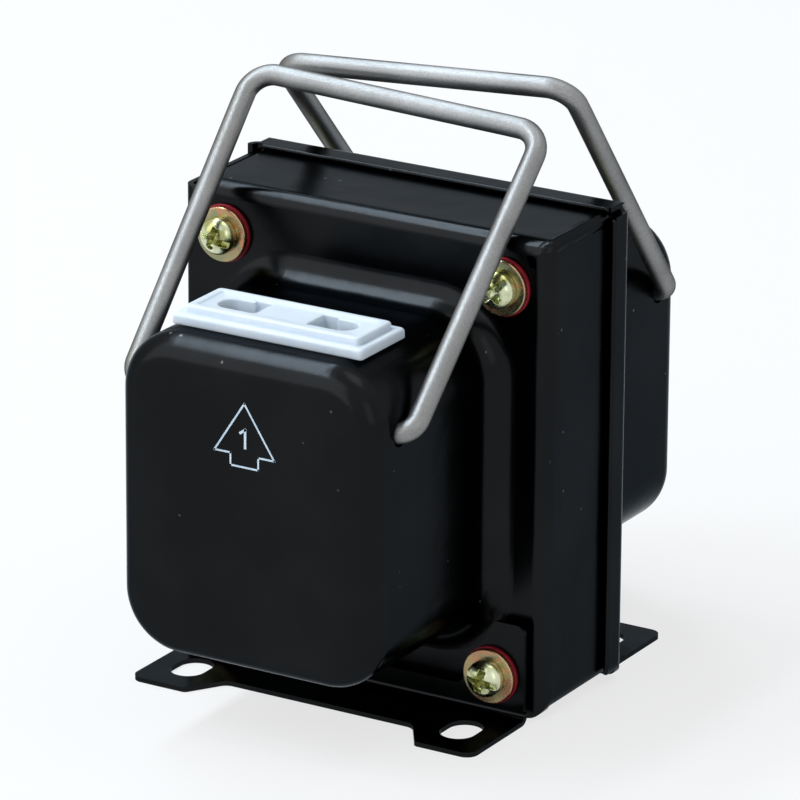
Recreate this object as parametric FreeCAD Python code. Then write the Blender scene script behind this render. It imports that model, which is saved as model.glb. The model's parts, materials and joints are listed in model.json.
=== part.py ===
"""Small step-up transformer on sheet-steel feet, with two wire bails.

A shell-type laminated core lies between two drawn steel covers, front and rear,
held by four long screws through its corner holes. Each cover has a deep bulge that
takes the coil's end turns and carries a moulded socket on top. A bent sheet bracket
under the lower screws of each side makes two feet. A bail of round wire swings in
two holes in the sides of each bulge, and both bails lean together over the core.

Units are millimetres. X runs to the right, the front faces -Y and Z points up.
The origin lies on the bench, under the middle of the whole part. The shapes are built
round the middle of the core and moved there at the end, since the bulges differ in depth.
"""
import FreeCAD
import Part
import math
import os

V = FreeCAD.Vector
X_AXIS = V(1, 0, 0)
Y_AXIS = V(0, 1, 0)
Z_AXIS = V(0, 0, 1)

# Core: E and I laminations in the 25.4 mm tongue size, lying on their long side
tongue = 25.4              # height of the middle leg
window_height = 12.7       # free height above and below the middle leg
window_length = 38.1       # length of the legs between the two yokes
leg = 12.7                 # height of an outer leg and width of a yoke
stack = 21.8               # thickness of the pile of laminations
core_lift = 0.95           # underside of the core above the bench
core_hole_d = 4.8          # Covers
sheet = 0.9                # thickness of the drawn steel
skirt_gap = 0.85           # between the core and the front cover's skirt
skirt_depth = 21.0         # how far the front cover wraps back over the core
skirt_bend = 2.4           # outer radius of the front cover's bends
lip_side_gap = 0.4         # between the side skirts and the rear cover's lips
lip_top_gap = 0.1          # between the upper skirt and the rear cover's lip
lip_depth = 5.1            # how far the rear cover wraps forward
lip_bend = 2.0             # outer radius of the rear cover's bends
flange_lift = 0.15         # lower edge of both covers above the bench
corner_round = 3.2         # lower corners of both covers, seen from the front
foot_relief = 1.8          # side skirts and lips end this far above the cover's lower edge
head_relief = 1.5          # side skirts and lips end this far under the cover's top
head_relief_left = 3.9     # the upper skirt and lip end this far inside the left side
head_relief_right = 1.0    # and this far inside the right side
relief_hole_d = 1.4        # round end of each relief in the flange
lip_drop = 2.8             # the rear cover's left lip ends this much lower than its right one

# Bulge of each cover
bulge_end_margin = 4.45    # the bulge reaches this far beyond the windows' ends
bulge_margin = 0.95        # and this far above and below the windows
front_bulge_depth = 34.8   # from the flange's face to the bulge's face
rear_bulge_depth = 37.2
bulge_corner = 10.0        # corners seen from the front
bulge_edge = 4.0           # edge all round the bulge's face
bulge_root = 4.3           # hollow radius between bulge and flange

# Coil
bobbin_wall = 1.0
bobbin_fit = 0.2           # between the middle leg and the bobbin
bobbin_end_gap = 0.65      # between the bobbin's flanges and the yokes
bobbin_leg_gap = 1.9       # between the bobbin's flanges and the outer legs
bobbin_rim = 1.2           # the bobbin's flanges stand this far beyond the coil
bobbin_corner = 4.0
inner_build = 3.6          # thickness of the inner winding
paper_build = 0.4
outer_build = 4.2
wrap_build = 0.5
winding_corner = 3.0
end_margin = 0.3           # between the windings and the bobbin's flanges
fuse_d = 3.6
fuse_length = 11.0

# Screws, washers and nuts of size M3
screw_d = 3.0
screw_length = 35.0
head_d = 6.1
head_height = 2.7
head_rim = 0.8             # straight rim under the domed top
head_crown_d = 3.8         # the dome passes through this diameter
head_crown_height = 2.3    # at this height
recess_length = 3.8        # cross recess
recess_width = 0.9
recess_depth = 1.3
cover_hole_d = 3.6
washer_d = 9.0
washer_bore = 3.2
washer_t = 0.8
fibre_d = 9.5
fibre_t = 0.6
lock_d = 5.9
lock_t = 0.8
lock_slit = 0.7
nut_width = 5.5            # across flats
nut_height = 2.4
sleeve_d = 4.6
sleeve_bore = 3.2
sleeve_margin = 0.5        # the sleeve ends this far inside the core's faces

# Feet
foot_spacer_t = 1.5        # fibre spacers between the flange and the foot's tabs
foot_spacer_d = 8.0
foot_sheet = 0.8
foot_bend = 1.0            # inner radius of the bend
foot_inset = 2.0           # the feet end this far inside the front cover's sides
foot_reach = 19.0          # ears reach this far out from the flange
web_reach = 12.8           # the edge between the ears
ear_width = 10.3           # at its outer end
ear_slant = 4.0            # its inner side slants in by this
ear_corner = 2.0
ear_tip_corner = 1.0
tab_step = 0.3             # the tabs are this much narrower than the ears at each side
tab_height = 16.3
tab_top_width = 5.5
tab_foot_width = 11.6      # where the slanting side meets the strip
tab_corner = 1.5
tab_inner_corner = 1.0
strip_height = 4.6
foot_hole_inset = 6.5      # inside the ears' sides
foot_hole_out = 10.9       # foot holes out from the flange
foot_slot_width = 5.8
foot_slot_length = 8.0     # along Y

# Bails
wire_d = 3.4
bail_leg = 54.6            # from the pivot to the middle of the bar
bail_side_gap = 0.3        # between a leg and the bulge's side
bail_bend = 4.3            # middle radius of the two bends at the bar
bail_end_bend = 3.0        # and of the two bends beside the bulge
bail_end_reach = 6.0       # how far the ends reach in from the bulge's side
pivot_fit = 0.4            # between the wire and the edge of its hole
pivot_setback = 7.1        # behind the bulge's face
pivot_drop = 10.75         # below the bulge's top
front_lean_angle = 44.1    # mean lean of the front bail's legs back over the core
rear_lean_angle = 40.6
bail_twist_angle = 4.3     # the two legs of a used bail differ by this angle

# Sockets
socket_half_length = 17.15
socket_half_width = 6.6
socket_corner = 0.6
socket_inset = 12.7        # middle of the socket behind the bulge's face
base_height = 1.7
block_margin = 1.5         # raised block inside the base's edge
block_height = 1.2
panel_margin = 3.0         # shallow panel inside the raised block
panel_depth = 0.3
body_half_length = 14.5
body_half_width = 5.2
body_depth = 16.0
cutout_fit = 0.2
latch_reach = 1.0
latch_height = 4.0
pin_inner = 4.2            # flat inner side of each opening
pin_outer = 12.3           # far end of each opening
pin_half_width = 3.5
pin_depth = 13.0
contact_t = 0.4
contact_width = 4.6
contact_top = 3.4          # leaves end this far under the socket's face
contact_fit = 0.1
contact_back_gap = 1.0     # the outer leaf is flat, inside the round side
lug_width = 2.4
lug_length = 6.0

# Leads from the sockets to the coil
lead_d = 1.8
lead_corner = 1.8          # middle radius of a lead's bends
lead_end = 5.5             # last straight run in front of the coil
lead_coil_x = 6.0
lead_drop = 14.0

# Places worked out from the sizes above
core_width = window_length + 2 * leg
core_height = tongue + 2 * (window_height + leg)
core_middle = core_lift + core_height / 2
core_half = stack / 2
flange_face = core_half + sheet
bulge_half_width = window_length / 2 + bulge_end_margin
bulge_height = tongue + 2 * (window_height + bulge_margin)
front_face = flange_face + front_bulge_depth
rear_face = flange_face + rear_bulge_depth
hole_x = core_width / 2 - leg / 2
hole_low = core_lift + leg / 2
hole_high = core_lift + core_height - leg / 2
skirt_half_width = core_width / 2 + skirt_gap + sheet
skirt_top = core_lift + core_height + skirt_gap + sheet
lip_half_width = skirt_half_width + lip_side_gap + sheet
lip_top = skirt_top + lip_top_gap + sheet
foot_back = flange_face + foot_spacer_t
foot_half_width = skirt_half_width - foot_inset
tab_half_width = foot_half_width - tab_step
foot_hole_x = foot_half_width - foot_hole_inset
bail_half_width = bulge_half_width + bail_side_gap + wire_d / 2
bulge_top = core_middle + bulge_height / 2
socket_face = bulge_top + base_height + block_height - panel_depth
pin_floor = socket_face - pin_depth
pivot_height = bulge_top - pivot_drop
coil_depth = core_half + bobbin_fit + bobbin_wall + inner_build + paper_build
wrap_depth = coil_depth + outer_build + wrap_build
bobbin_half_length = window_length / 2 - bobbin_end_gap
bobbin_half_height = tongue / 2 + window_height - bobbin_leg_gap
bobbin_half_depth = wrap_depth + bobbin_rim
to_middle = V(0, (front_face - rear_face) / 2, 0)


def box(x0, x1, y0, y1, z0, z1):
    return Part.makeBox(x1 - x0, y1 - y0, z1 - z0, V(x0, y0, z0))


def rod_y(x, z, d, y0, y1):
    """Cylinder along Y."""
    return Part.makeCylinder(d / 2, y1 - y0, V(x, y0, z), Y_AXIS)


def ring_y(x, z, d, bore, y0, y1):
    """Flat ring along Y with its outer edges broken."""
    ring = rod_y(x, z, d, y0, y1).cut(rod_y(x, z, bore, y0 - 1, y1 + 1))
    rims = [e for e in ring.Edges if abs(e.Length - math.pi * d) < 0.01]
    return ring.makeChamfer((y1 - y0) / 4, rims)


def outline(corners):
    """Closed wire through corners given as (point, radius), with an arc at each."""
    count = len(corners)
    edges = []
    ends = []
    for i, (point, radius) in enumerate(corners):
        before = (corners[i - 1][0] - point).normalize()
        after = (corners[(i + 1) % count][0] - point).normalize()
        half_angle = before.getAngle(after) / 2
        run = radius / math.tan(half_angle)
        first = point + before * run
        last = point + after * run
        if radius > 0:
            to_centre = (before + after).normalize()
            middle = point + to_centre * (radius / math.sin(half_angle) - radius)
            edges.append(Part.Arc(first, middle, last).toShape())
        ends.append((first, last))
    for i in range(count):
        start = ends[i][1]
        end = ends[(i + 1) % count][0]
        if start.distanceToPoint(end) > 1e-6:
            edges.append(Part.LineSegment(start, end).toShape())
    return Part.Wire(Part.__sortEdges__(edges))


def prism(corners, direction):
    """Solid with the given outline, drawn out along a vector."""
    return Part.Face(outline(corners)).extrude(direction)


def rounded_block_y(half_width, z0, z1, radius, y0, y1):
    """Block along Y whose four corners are rounded in the front view."""
    corners = [(V(-half_width, y0, z0), radius), (V(half_width, y0, z0), radius),
               (V(half_width, y0, z1), radius), (V(-half_width, y0, z1), radius)]
    return prism(corners, V(0, y1 - y0, 0))


def rounded_block_z(x, y, half_x, half_y, radius, z0, z1):
    """Block along Z whose four corners are rounded in the top view."""
    corners = [(V(x - half_x, y - half_y, z0), radius), (V(x + half_x, y - half_y, z0), radius),
               (V(x + half_x, y + half_y, z0), radius), (V(x - half_x, y + half_y, z0), radius)]
    return prism(corners, V(0, 0, z1 - z0))


def tube_path(points, radii):
    """Straight runs through points, joined by tangent arcs, one radius for each."""
    edges = []
    start = points[0]
    for before, point, after, radius in zip(points, points[1:], points[2:], radii):
        back = (before - point).normalize()
        on = (after - point).normalize()
        half_angle = back.getAngle(on) / 2
        run = radius / math.tan(half_angle)
        first = point + back * run
        last = point + on * run
        to_centre = (back + on).normalize()
        middle = point + to_centre * (radius / math.sin(half_angle) - radius)
        edges.append(Part.LineSegment(start, first).toShape())
        edges.append(Part.Arc(first, middle, last).toShape())
        start = last
    edges.append(Part.LineSegment(start, points[-1]).toShape())
    return Part.Wire(edges)


def tube(points, radii, d):
    """Round wire of diameter d along a path."""
    path = tube_path(points, radii)
    direction = points[1] - points[0]
    circle = Part.Circle(points[0], direction, d / 2).toShape()
    return path.makePipeShell([Part.Wire([circle])], True, False)


def to_rear(shape):
    """The same shape on the rear side, turned half round the Z axis."""
    turned = shape.copy()
    turned.rotate(V(0, 0, 0), Z_AXIS, 180)
    return turned


def at_screws(make):
    """One copy for each of the four screws, made by make(x, z, extra)."""
    solids = []
    for x in (-hole_x, hole_x):
        solids.append(make(x, hole_high, 0.0))
        solids.append(make(x, hole_low, foot_sheet + foot_spacer_t))
    return Part.makeCompound(solids)


def folded_box(half_width, foot, top, bend, y0, y1):
    """Box whose side and upper edges at y0 are bent round, mitred at the corners."""
    plan = prism([(V(-half_width, y0, foot), bend), (V(half_width, y0, foot), bend),
                  (V(half_width, y1, foot), 0), (V(-half_width, y1, foot), 0)],
                 V(0, 0, top - foot))
    side = prism([(V(-half_width, y0, foot), 0), (V(-half_width, y0, top), bend),
                  (V(-half_width, y1, top), 0), (V(-half_width, y1, foot), 0)],
                 V(2 * half_width, 0, 0))
    return plan.common(side)


def bulge(face, inset, y_back):
    """Bulge that reaches out to face, as a block from y_back, each side moved in by inset."""
    y_face = -face + inset
    z0 = core_middle - bulge_height / 2 + inset
    z1 = core_middle + bulge_height / 2 - inset
    block = rounded_block_y(bulge_half_width - inset, z0, z1, bulge_corner - inset,
                            y_face, y_back)
    rim = [e for e in block.Edges if e.BoundBox.YMax < y_face + 0.01]
    return block.makeFillet(bulge_edge - inset, rim)


def with_root(body, nose, radius, y_joint):
    """Nose fused to the body, with a hollow radius where they meet at y_joint."""
    fused = body.fuse(nose).removeSplitter()
    root = []
    for edge in fused.Edges:
        span = edge.BoundBox
        in_joint = abs(span.YMin - y_joint) < 0.01 and abs(span.YMax - y_joint) < 0.01
        inside = span.XMin > -bulge_half_width - 0.01 and span.XMax < bulge_half_width + 0.01
        middle = abs(span.Center.z - core_middle) < bulge_height / 2 + 0.01
        if in_joint and inside and middle:
            root.append(edge)
    return fused.makeFillet(radius, root)


def cover(face, half_width, top, bend, depth, relief_left, relief_right, drop_right=0.0):
    """A drawn cover as it faces the front: flange, bent rim and hollow bulge.

    The bulge reaches out to face. The rim is open below, and above it ends
    relief_left and relief_right inside the two sides. The right rim's upper end is
    lowered by drop_right.
    """
    y_flange = -flange_face
    y_inner = -core_half
    y_rim = y_flange + depth
    skin = folded_box(half_width, flange_lift, top, bend, y_flange, y_rim)
    cheeks = prism([(V(-half_width, y_flange, flange_lift), corner_round),
                    (V(half_width, y_flange, flange_lift), corner_round),
                    (V(half_width, y_flange, top), 0),
                    (V(-half_width, y_flange, top), 0)], V(0, depth, 0))
    skin = with_root(skin.common(cheeks), bulge(face, 0, y_flange), bulge_root, y_flange)
    space = folded_box(half_width - sheet, flange_lift - 1, top - sheet, bend - sheet,
                       y_inner, y_rim + 1)
    space = with_root(space, bulge(face, sheet, y_inner), bulge_root + sheet, y_inner)
    shell = skin.cut(space)
    y_relief = y_flange + bend
    for side, inset in ((-1, relief_left), (1, relief_right)):
        x_edge = side * (half_width + 1)
        x_head = side * (half_width - inset)
        z_head = top - head_relief
        shell = shell.cut(box(min(x_edge, 0), max(x_edge, 0), y_relief, y_rim + 1,
                              flange_lift - 1, flange_lift + foot_relief))
        shell = shell.cut(box(min(x_edge, x_head), max(x_edge, x_head), y_flange - 1, y_rim + 1,
                              z_head, top + 1))
        shell = shell.cut(rod_y(x_head, z_head + relief_hole_d / 4, relief_hole_d,
                                y_flange - 1, y_relief))
    shell = shell.cut(box(half_width - relief_right, half_width + 1, y_relief, y_rim + 1,
                          top - head_relief - drop_right, top + 1))
    for x in (-hole_x, hole_x):
        for z in (hole_low, hole_high):
            shell = shell.cut(rod_y(x, z, cover_hole_d, y_flange - 1, y_inner + 1))
    pivots = Part.makeCylinder(wire_d / 2 + pivot_fit, 2 * bulge_half_width + 2,
                               V(-bulge_half_width - 1, pivot_setback - face, pivot_height),
                               X_AXIS)
    cutout = box(-body_half_length - cutout_fit, body_half_length + cutout_fit,
                 socket_inset - face - body_half_width - cutout_fit,
                 socket_inset - face + body_half_width + cutout_fit,
                 bulge_top - 2 * sheet, bulge_top + 1)
    return shell.cut(pivots).cut(cutout)


def core_e():
    """E laminations: one yoke on the left and three legs to the right."""
    x0 = -core_width / 2
    x1 = window_length / 2
    top = core_lift + core_height
    body = box(x0, x1, -core_half, core_half, core_lift, top)
    for z0 in (core_lift + leg, core_lift + leg + window_height + tongue):
        body = body.cut(box(-window_length / 2, x1 + 1, -core_half - 1, core_half + 1,
                            z0, z0 + window_height))
    return drill_core(body, -hole_x)


def core_i():
    """I laminations: the yoke that closes the windows on the right."""
    bar = box(window_length / 2, core_width / 2, -core_half, core_half,
              core_lift, core_lift + core_height)
    return drill_core(bar, hole_x)


def drill_core(body, x):
    for z in (hole_low, hole_high):
        body = body.cut(rod_y(x, z, core_hole_d, -core_half - 1, core_half + 1))
    return body


def block_x(half_length, half_depth, half_height, radius):
    """Block along X round the coil's axis, with rounded corners in the end view."""
    z0 = core_middle - half_height
    z1 = core_middle + half_height
    corners = [(V(-half_length, -half_depth, z0), radius), (V(-half_length, half_depth, z0), radius),
               (V(-half_length, half_depth, z1), radius), (V(-half_length, -half_depth, z1), radius)]
    return prism(corners, V(2 * half_length, 0, 0))


def bobbin():
    """Moulded coil former: a square tube with a flange at each end."""
    depth = core_half + bobbin_fit
    height = tongue / 2 + bobbin_fit
    flanges = block_x(bobbin_half_length, bobbin_half_depth, bobbin_half_height, bobbin_corner)
    between = block_x(bobbin_half_length - bobbin_wall, bobbin_half_depth + 1,
                      bobbin_half_height + 1, 0)
    sleeve = block_x(bobbin_half_length, depth + bobbin_wall, height + bobbin_wall, bobbin_wall)
    bore = block_x(bobbin_half_length + 1, depth, height, 0)
    return flanges.cut(between).fuse(sleeve).cut(bore).removeSplitter()


def winding(start, build):
    """Layer of the coil that starts at a build-up over the bobbin's tube."""
    half_length = bobbin_half_length - bobbin_wall - end_margin
    depth = core_half + bobbin_fit + bobbin_wall
    height = tongue / 2 + bobbin_fit + bobbin_wall
    inner_radius = bobbin_wall + (winding_corner - bobbin_wall) * min(1, start / inner_build)
    outer = block_x(half_length, depth + start + build, height + start + build, winding_corner)
    inner = block_x(half_length + 1, depth + start, height + start, inner_radius)
    return outer.cut(inner)


def thermal_fuse():
    """Cut-out lying on the coil's rear face."""
    y = wrap_depth + fuse_d / 2
    return Part.makeCylinder(fuse_d / 2, fuse_length, V(-fuse_length / 2, y, core_middle), X_AXIS)


def screw(x, z, extra):
    """Pan head screw with a cross recess, its head in front."""
    y_seat = -flange_face - fibre_t - washer_t - extra
    y_rim = y_seat - head_rim
    y_top = y_seat - head_height
    shoulder = V(x + head_d / 2, y_rim, z)
    crown = V(x + head_crown_d / 2, y_seat - head_crown_height, z)
    edges = [Part.LineSegment(V(x, y_seat, z), V(x + head_d / 2, y_seat, z)).toShape(),
             Part.LineSegment(V(x + head_d / 2, y_seat, z), shoulder).toShape(),
             Part.Arc(shoulder, crown, V(x, y_top, z)).toShape(),
             Part.LineSegment(V(x, y_top, z), V(x, y_seat, z)).toShape()]
    head = Part.Face(Part.Wire(edges)).revolve(V(x, 0, z), Y_AXIS, 360)
    recess = box(x - recess_length / 2, x + recess_length / 2, y_top - 1, y_top + recess_depth,
                 z - recess_width / 2, z + recess_width / 2)
    upright = recess.copy()
    upright.rotate(V(x, 0, z), Y_AXIS, 90)
    shank = rod_y(x, z, screw_d, y_seat, y_seat + screw_length)
    return head.fuse(shank).cut(recess).cut(upright).removeSplitter()


def front_washer(x, z, extra):
    y0 = -flange_face - fibre_t - washer_t - extra
    return ring_y(x, z, washer_d, washer_bore, y0, y0 + washer_t)


def front_fibre(x, z, extra):
    y0 = -flange_face - fibre_t - extra
    return ring_y(x, z, fibre_d, washer_bore, y0, y0 + fibre_t)


def rear_fibre(x, z, extra):
    y0 = flange_face + extra
    return ring_y(x, z, fibre_d, washer_bore, y0, y0 + fibre_t)


def rear_washer(x, z, extra):
    y0 = flange_face + extra + fibre_t
    return ring_y(x, z, washer_d, washer_bore, y0, y0 + washer_t)


def lock_washer(x, z, extra):
    """Spring washer, split at the top."""
    y0 = flange_face + extra + fibre_t + washer_t
    ring = rod_y(x, z, lock_d, y0, y0 + lock_t).cut(rod_y(x, z, washer_bore, y0 - 1, y0 + lock_t + 1))
    slit = box(x - lock_slit / 2, x + lock_slit / 2, y0 - 1, y0 + lock_t + 1, z, z + lock_d)
    return ring.cut(slit)


def nut(x, z, extra):
    """Hexagon nut with its outer corners rounded off, threaded on the screw."""
    y0 = flange_face + extra + fibre_t + washer_t + lock_t
    across = nut_width / math.cos(math.pi / 6)
    points = [V(x + across / 2 * math.cos(k * math.pi / 3), y0,
                z + across / 2 * math.sin(k * math.pi / 3)) for k in range(6)]
    body = prism([(p, 0) for p in points], V(0, nut_height, 0))
    cone = Part.makeCone(nut_width / 2 + nut_height, nut_width / 2, nut_height,
                         V(x, y0, z), Y_AXIS)
    return body.common(cone).cut(rod_y(x, z, screw_d, y0 - 1, y0 + nut_height + 1))


def sleeve(x, z, extra):
    """Insulating tube round a screw inside the core."""
    y0 = -core_half + sleeve_margin
    y1 = core_half - sleeve_margin
    return rod_y(x, z, sleeve_d, y0, y1).cut(rod_y(x, z, sleeve_bore, y0 - 1, y1 + 1))


def foot_spacers():
    """Fibre spacers that hold the feet off the flanges, front and rear."""
    solids = []
    for x in (-hole_x, hole_x):
        for y0 in (-foot_back, flange_face):
            solids.append(ring_y(x, hole_low, foot_spacer_d, cover_hole_d, y0, y0 + foot_spacer_t))
    return Part.makeCompound(solids)


def foot_bracket():
    """Front foot bracket, bent from one sheet: two ears in front, two tabs behind."""
    y_back = -foot_back
    y_wall = y_back - foot_sheet
    outer = foot_bend + foot_sheet
    y_ear = -flange_face - foot_reach
    y_web = -flange_face - web_reach
    w = foot_half_width
    x_tip = w - ear_width
    x_root = x_tip - ear_slant
    angle = prism([(V(-w, y_back, 0), outer), (V(-w, y_back, tab_height), 0),
                   (V(-w, y_wall, tab_height), 0), (V(-w, y_wall, foot_sheet), foot_bend),
                   (V(-w, y_ear, foot_sheet), 0), (V(-w, y_ear, 0), 0)], V(2 * w, 0, 0))
    plan = prism([(V(-w, y_back + 1, -1), 0), (V(-w, y_ear, -1), ear_corner),
                  (V(-x_tip, y_ear, -1), ear_tip_corner), (V(-x_root, y_web, -1), ear_corner),
                  (V(x_root, y_web, -1), ear_corner), (V(x_tip, y_ear, -1), ear_tip_corner),
                  (V(w, y_ear, -1), ear_corner), (V(w, y_back + 1, -1), 0)],
                 V(0, 0, tab_height + 2))
    half = [(V(w, y_ear - 1, -1), 0), (V(w, y_ear - 1, outer), 0),
            (V(tab_half_width, y_ear - 1, outer), 0),
            (V(tab_half_width, y_ear - 1, tab_height), tab_corner),
            (V(tab_half_width - tab_top_width, y_ear - 1, tab_height), tab_inner_corner),
            (V(tab_half_width - tab_foot_width, y_ear - 1, strip_height), tab_inner_corner)]
    other_half = [(V(-p.x, p.y, p.z), radius) for p, radius in reversed(half)]
    face = prism(half + other_half, V(0, foot_reach + 2, 0))
    bracket = angle.common(plan).common(face)
    for side in (-1, 1):
        bracket = bracket.cut(rod_y(side * hole_x, hole_low, cover_hole_d, y_wall - 1, y_back + 1))
        slot = rounded_block_z(side * foot_hole_x, -flange_face - foot_hole_out, foot_slot_width / 2,
                               foot_slot_length / 2, foot_slot_width / 2 - 0.01, -1, foot_sheet + 1)
        bracket = bracket.cut(slot)
    return bracket


def bail(face, lean):
    """Front bail: two legs that lean back over the core, joined by the bar."""
    left = math.radians(lean - bail_twist_angle / 2)
    right = math.radians(lean + bail_twist_angle / 2)
    pivot = V(0, pivot_setback - face, pivot_height)
    x_end = bulge_half_width - bail_end_reach
    points = [pivot + V(-x_end, 0, 0),
              pivot + V(-bail_half_width, 0, 0),
              pivot + V(-bail_half_width, bail_leg * math.sin(left), bail_leg * math.cos(left)),
              pivot + V(bail_half_width, bail_leg * math.sin(right), bail_leg * math.cos(right)),
              pivot + V(bail_half_width, 0, 0),
              pivot + V(x_end, 0, 0)]
    return tube(points, [bail_end_bend, bail_bend, bail_bend, bail_end_bend], wire_d)


def pin_opening(side, y, z0, z1):
    """Opening for one pin: flat on its inner side, round on its outer side."""
    half = pin_half_width
    round_end = min(half - 0.01, pin_outer - pin_inner - 0.1)
    near = side * pin_inner
    far = side * pin_outer
    corners = [(V(near, y - half, z0), 0), (V(far, y - half, z0), round_end),
               (V(far, y + half, z0), round_end), (V(near, y + half, z0), 0)]
    return prism(corners, V(0, 0, z1 - z0))


def socket(face):
    """Moulded socket on top of the front bulge, held by a latch at each end."""
    y = socket_inset - face
    z_base = bulge_top + base_height
    z_block = z_base + block_height
    z_panel = z_block - panel_depth
    length = socket_half_length
    width = socket_half_width
    base = rounded_block_z(0, y, length, width, socket_corner, bulge_top, z_base)
    block = rounded_block_z(0, y, length - block_margin, width - block_margin, socket_corner,
                            z_base, z_block)
    rim = [e for e in block.Edges if e.BoundBox.ZMin > z_block - 0.01]
    block = block.makeChamfer(block_height / 4, rim)
    panel = rounded_block_z(0, y, length - panel_margin, width - panel_margin, socket_corner,
                            z_panel, z_block + 1)
    body = box(-body_half_length, body_half_length, y - body_half_width, y + body_half_width,
               bulge_top - body_depth, bulge_top)
    whole = base.fuse(block).fuse(body).cut(panel)
    for side in (-1, 1):
        whole = whole.fuse(latch(side, y))
        whole = whole.cut(pin_opening(side, y, pin_floor, z_block + 1))
        slot = box(-lug_width / 2 - contact_fit, lug_width / 2 + contact_fit,
                   -contact_t / 2 - contact_fit, contact_t / 2 + contact_fit,
                   bulge_top - body_depth - 1, pin_floor + 1)
        slot.translate(V(side * (pin_inner + pin_outer) / 2, y, 0))
        whole = whole.cut(slot)
    return whole.removeSplitter()


def latch(side, y):
    """Wedge under the bulge's wall that keeps the socket in its cutout."""
    z_top = bulge_top - sheet - cutout_fit
    x = side * body_half_length
    tip = side * (body_half_length + latch_reach)
    return prism([(V(x, y - body_half_width / 2, z_top), 0),
                  (V(tip, y - body_half_width / 2, z_top), 0),
                  (V(x, y - body_half_width / 2, z_top - latch_height), 0)],
                 V(0, body_half_width, 0))


def socket_contact(side, face):
    """Brass clip: two leaves, a floor between them and a lug below."""
    y = socket_inset - face
    x0 = pin_inner + contact_fit
    x1 = pin_outer - contact_fit - contact_back_gap
    z0 = pin_floor + contact_fit
    z1 = socket_face - contact_top
    half = contact_width / 2
    clip = box(x0, x1, y - half, y + half, z0, z1)
    clip = clip.cut(box(x0 + contact_t, x1 - contact_t, y - half - 1, y + half + 1,
                        z0 + contact_t, z1 + 1))
    middle = (pin_inner + pin_outer) / 2
    lug = box(middle - lug_width / 2, middle + lug_width / 2, y - contact_t / 2, y + contact_t / 2,
              bulge_top - body_depth - lug_length, z0 + contact_t)
    clip = clip.fuse(lug).removeSplitter()
    if side < 0:
        clip = clip.mirror(V(0, 0, 0), X_AXIS)
    return clip


def lead(side, face):
    """Insulated wire from a socket lug down and back to the coil."""
    x = side * (pin_inner + pin_outer) / 2
    y = socket_inset - face
    z_lug = bulge_top - body_depth - lug_length
    points = [V(x, y, z_lug),
              V(x, y, z_lug - lead_drop / 2),
              V(side * lead_coil_x, -wrap_depth - lead_end, z_lug - lead_drop),
              V(side * lead_coil_x, -wrap_depth, z_lug - lead_drop)]
    return tube(points, [lead_corner, lead_corner], lead_d)


def pair(make, face):
    return Part.makeCompound([make(-1, face), make(1, face)])


def build():
    """All pieces by name."""
    layers = [("inner_winding", inner_build), ("layer_paper", paper_build),
              ("outer_winding", outer_build), ("coil_wrap", wrap_build)]
    parts = {
        "front_cover": cover(front_face, skirt_half_width, skirt_top, skirt_bend, skirt_depth,
                             head_relief_left, head_relief_right),
        "rear_cover": to_rear(cover(rear_face, lip_half_width, lip_top, lip_bend, lip_depth,
                                    head_relief_right, head_relief_left, lip_drop)),
        "core_e_laminations": core_e(),
        "core_i_laminations": core_i(),
        "bobbin": bobbin(),
        "thermal_fuse": thermal_fuse(),
        "clamp_screws": at_screws(screw),
        "screw_sleeves": at_screws(sleeve),
        "front_washers": at_screws(front_washer),
        "front_fibre_washers": at_screws(front_fibre),
        "rear_fibre_washers": at_screws(rear_fibre),
        "rear_washers": at_screws(rear_washer),
        "lock_washers": at_screws(lock_washer),
        "hex_nuts": at_screws(nut),
        "foot_spacers": foot_spacers(),
        "front_foot_bracket": foot_bracket(),
        "rear_foot_bracket": to_rear(foot_bracket()),
        "front_bail": bail(front_face, front_lean_angle),
        "rear_bail": to_rear(bail(rear_face, rear_lean_angle)),
        "front_socket": socket(front_face),
        "rear_socket": to_rear(socket(rear_face)),
        "front_contacts": pair(socket_contact, front_face),
        "rear_contacts": to_rear(pair(socket_contact, rear_face)),
        "front_leads": pair(lead, front_face),
        "rear_leads": to_rear(pair(lead, rear_face)),
    }
    start = 0.0
    for name, thickness in layers:
        parts[name] = winding(start, thickness)
        start += thickness
    return parts


def main():
    os.makedirs("parts", exist_ok=True)
    for name, shape in build().items():
        if not shape.isValid():
            print("not valid:", name)
        print(name, len(shape.Solids), round(shape.Volume, 1))
        shape.translated(to_middle).exportStep("parts/" + name + ".step")


main()
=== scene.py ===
"""Looks of the small step-up transformer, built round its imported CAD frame."""
import bpy
import bmesh
import json
import math
from mathutils import Matrix, Vector


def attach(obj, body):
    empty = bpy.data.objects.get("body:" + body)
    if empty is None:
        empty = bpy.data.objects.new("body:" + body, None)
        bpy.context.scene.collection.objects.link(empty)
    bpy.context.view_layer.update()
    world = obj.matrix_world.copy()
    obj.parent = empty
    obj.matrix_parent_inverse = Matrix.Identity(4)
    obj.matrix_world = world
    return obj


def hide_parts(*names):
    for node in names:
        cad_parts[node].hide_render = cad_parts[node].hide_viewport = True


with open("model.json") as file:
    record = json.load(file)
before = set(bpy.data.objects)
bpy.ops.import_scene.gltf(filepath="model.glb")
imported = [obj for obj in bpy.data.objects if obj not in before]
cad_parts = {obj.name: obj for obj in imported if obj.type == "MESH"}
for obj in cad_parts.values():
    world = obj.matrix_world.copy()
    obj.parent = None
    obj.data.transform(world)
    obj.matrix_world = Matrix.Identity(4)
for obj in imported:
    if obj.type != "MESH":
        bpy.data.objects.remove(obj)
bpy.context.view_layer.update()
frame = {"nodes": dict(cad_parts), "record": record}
nodes = frame["nodes"]
scene = bpy.context.scene
MM = 0.001


# ---------------------------------------------------------------- camera
PHOTO_WIDTH = 800          # pixels
FOCAL_LENGTH = 6574.15     # in the photograph's pixels
SENSOR_WIDTH = 36.0        # millimetres


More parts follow.
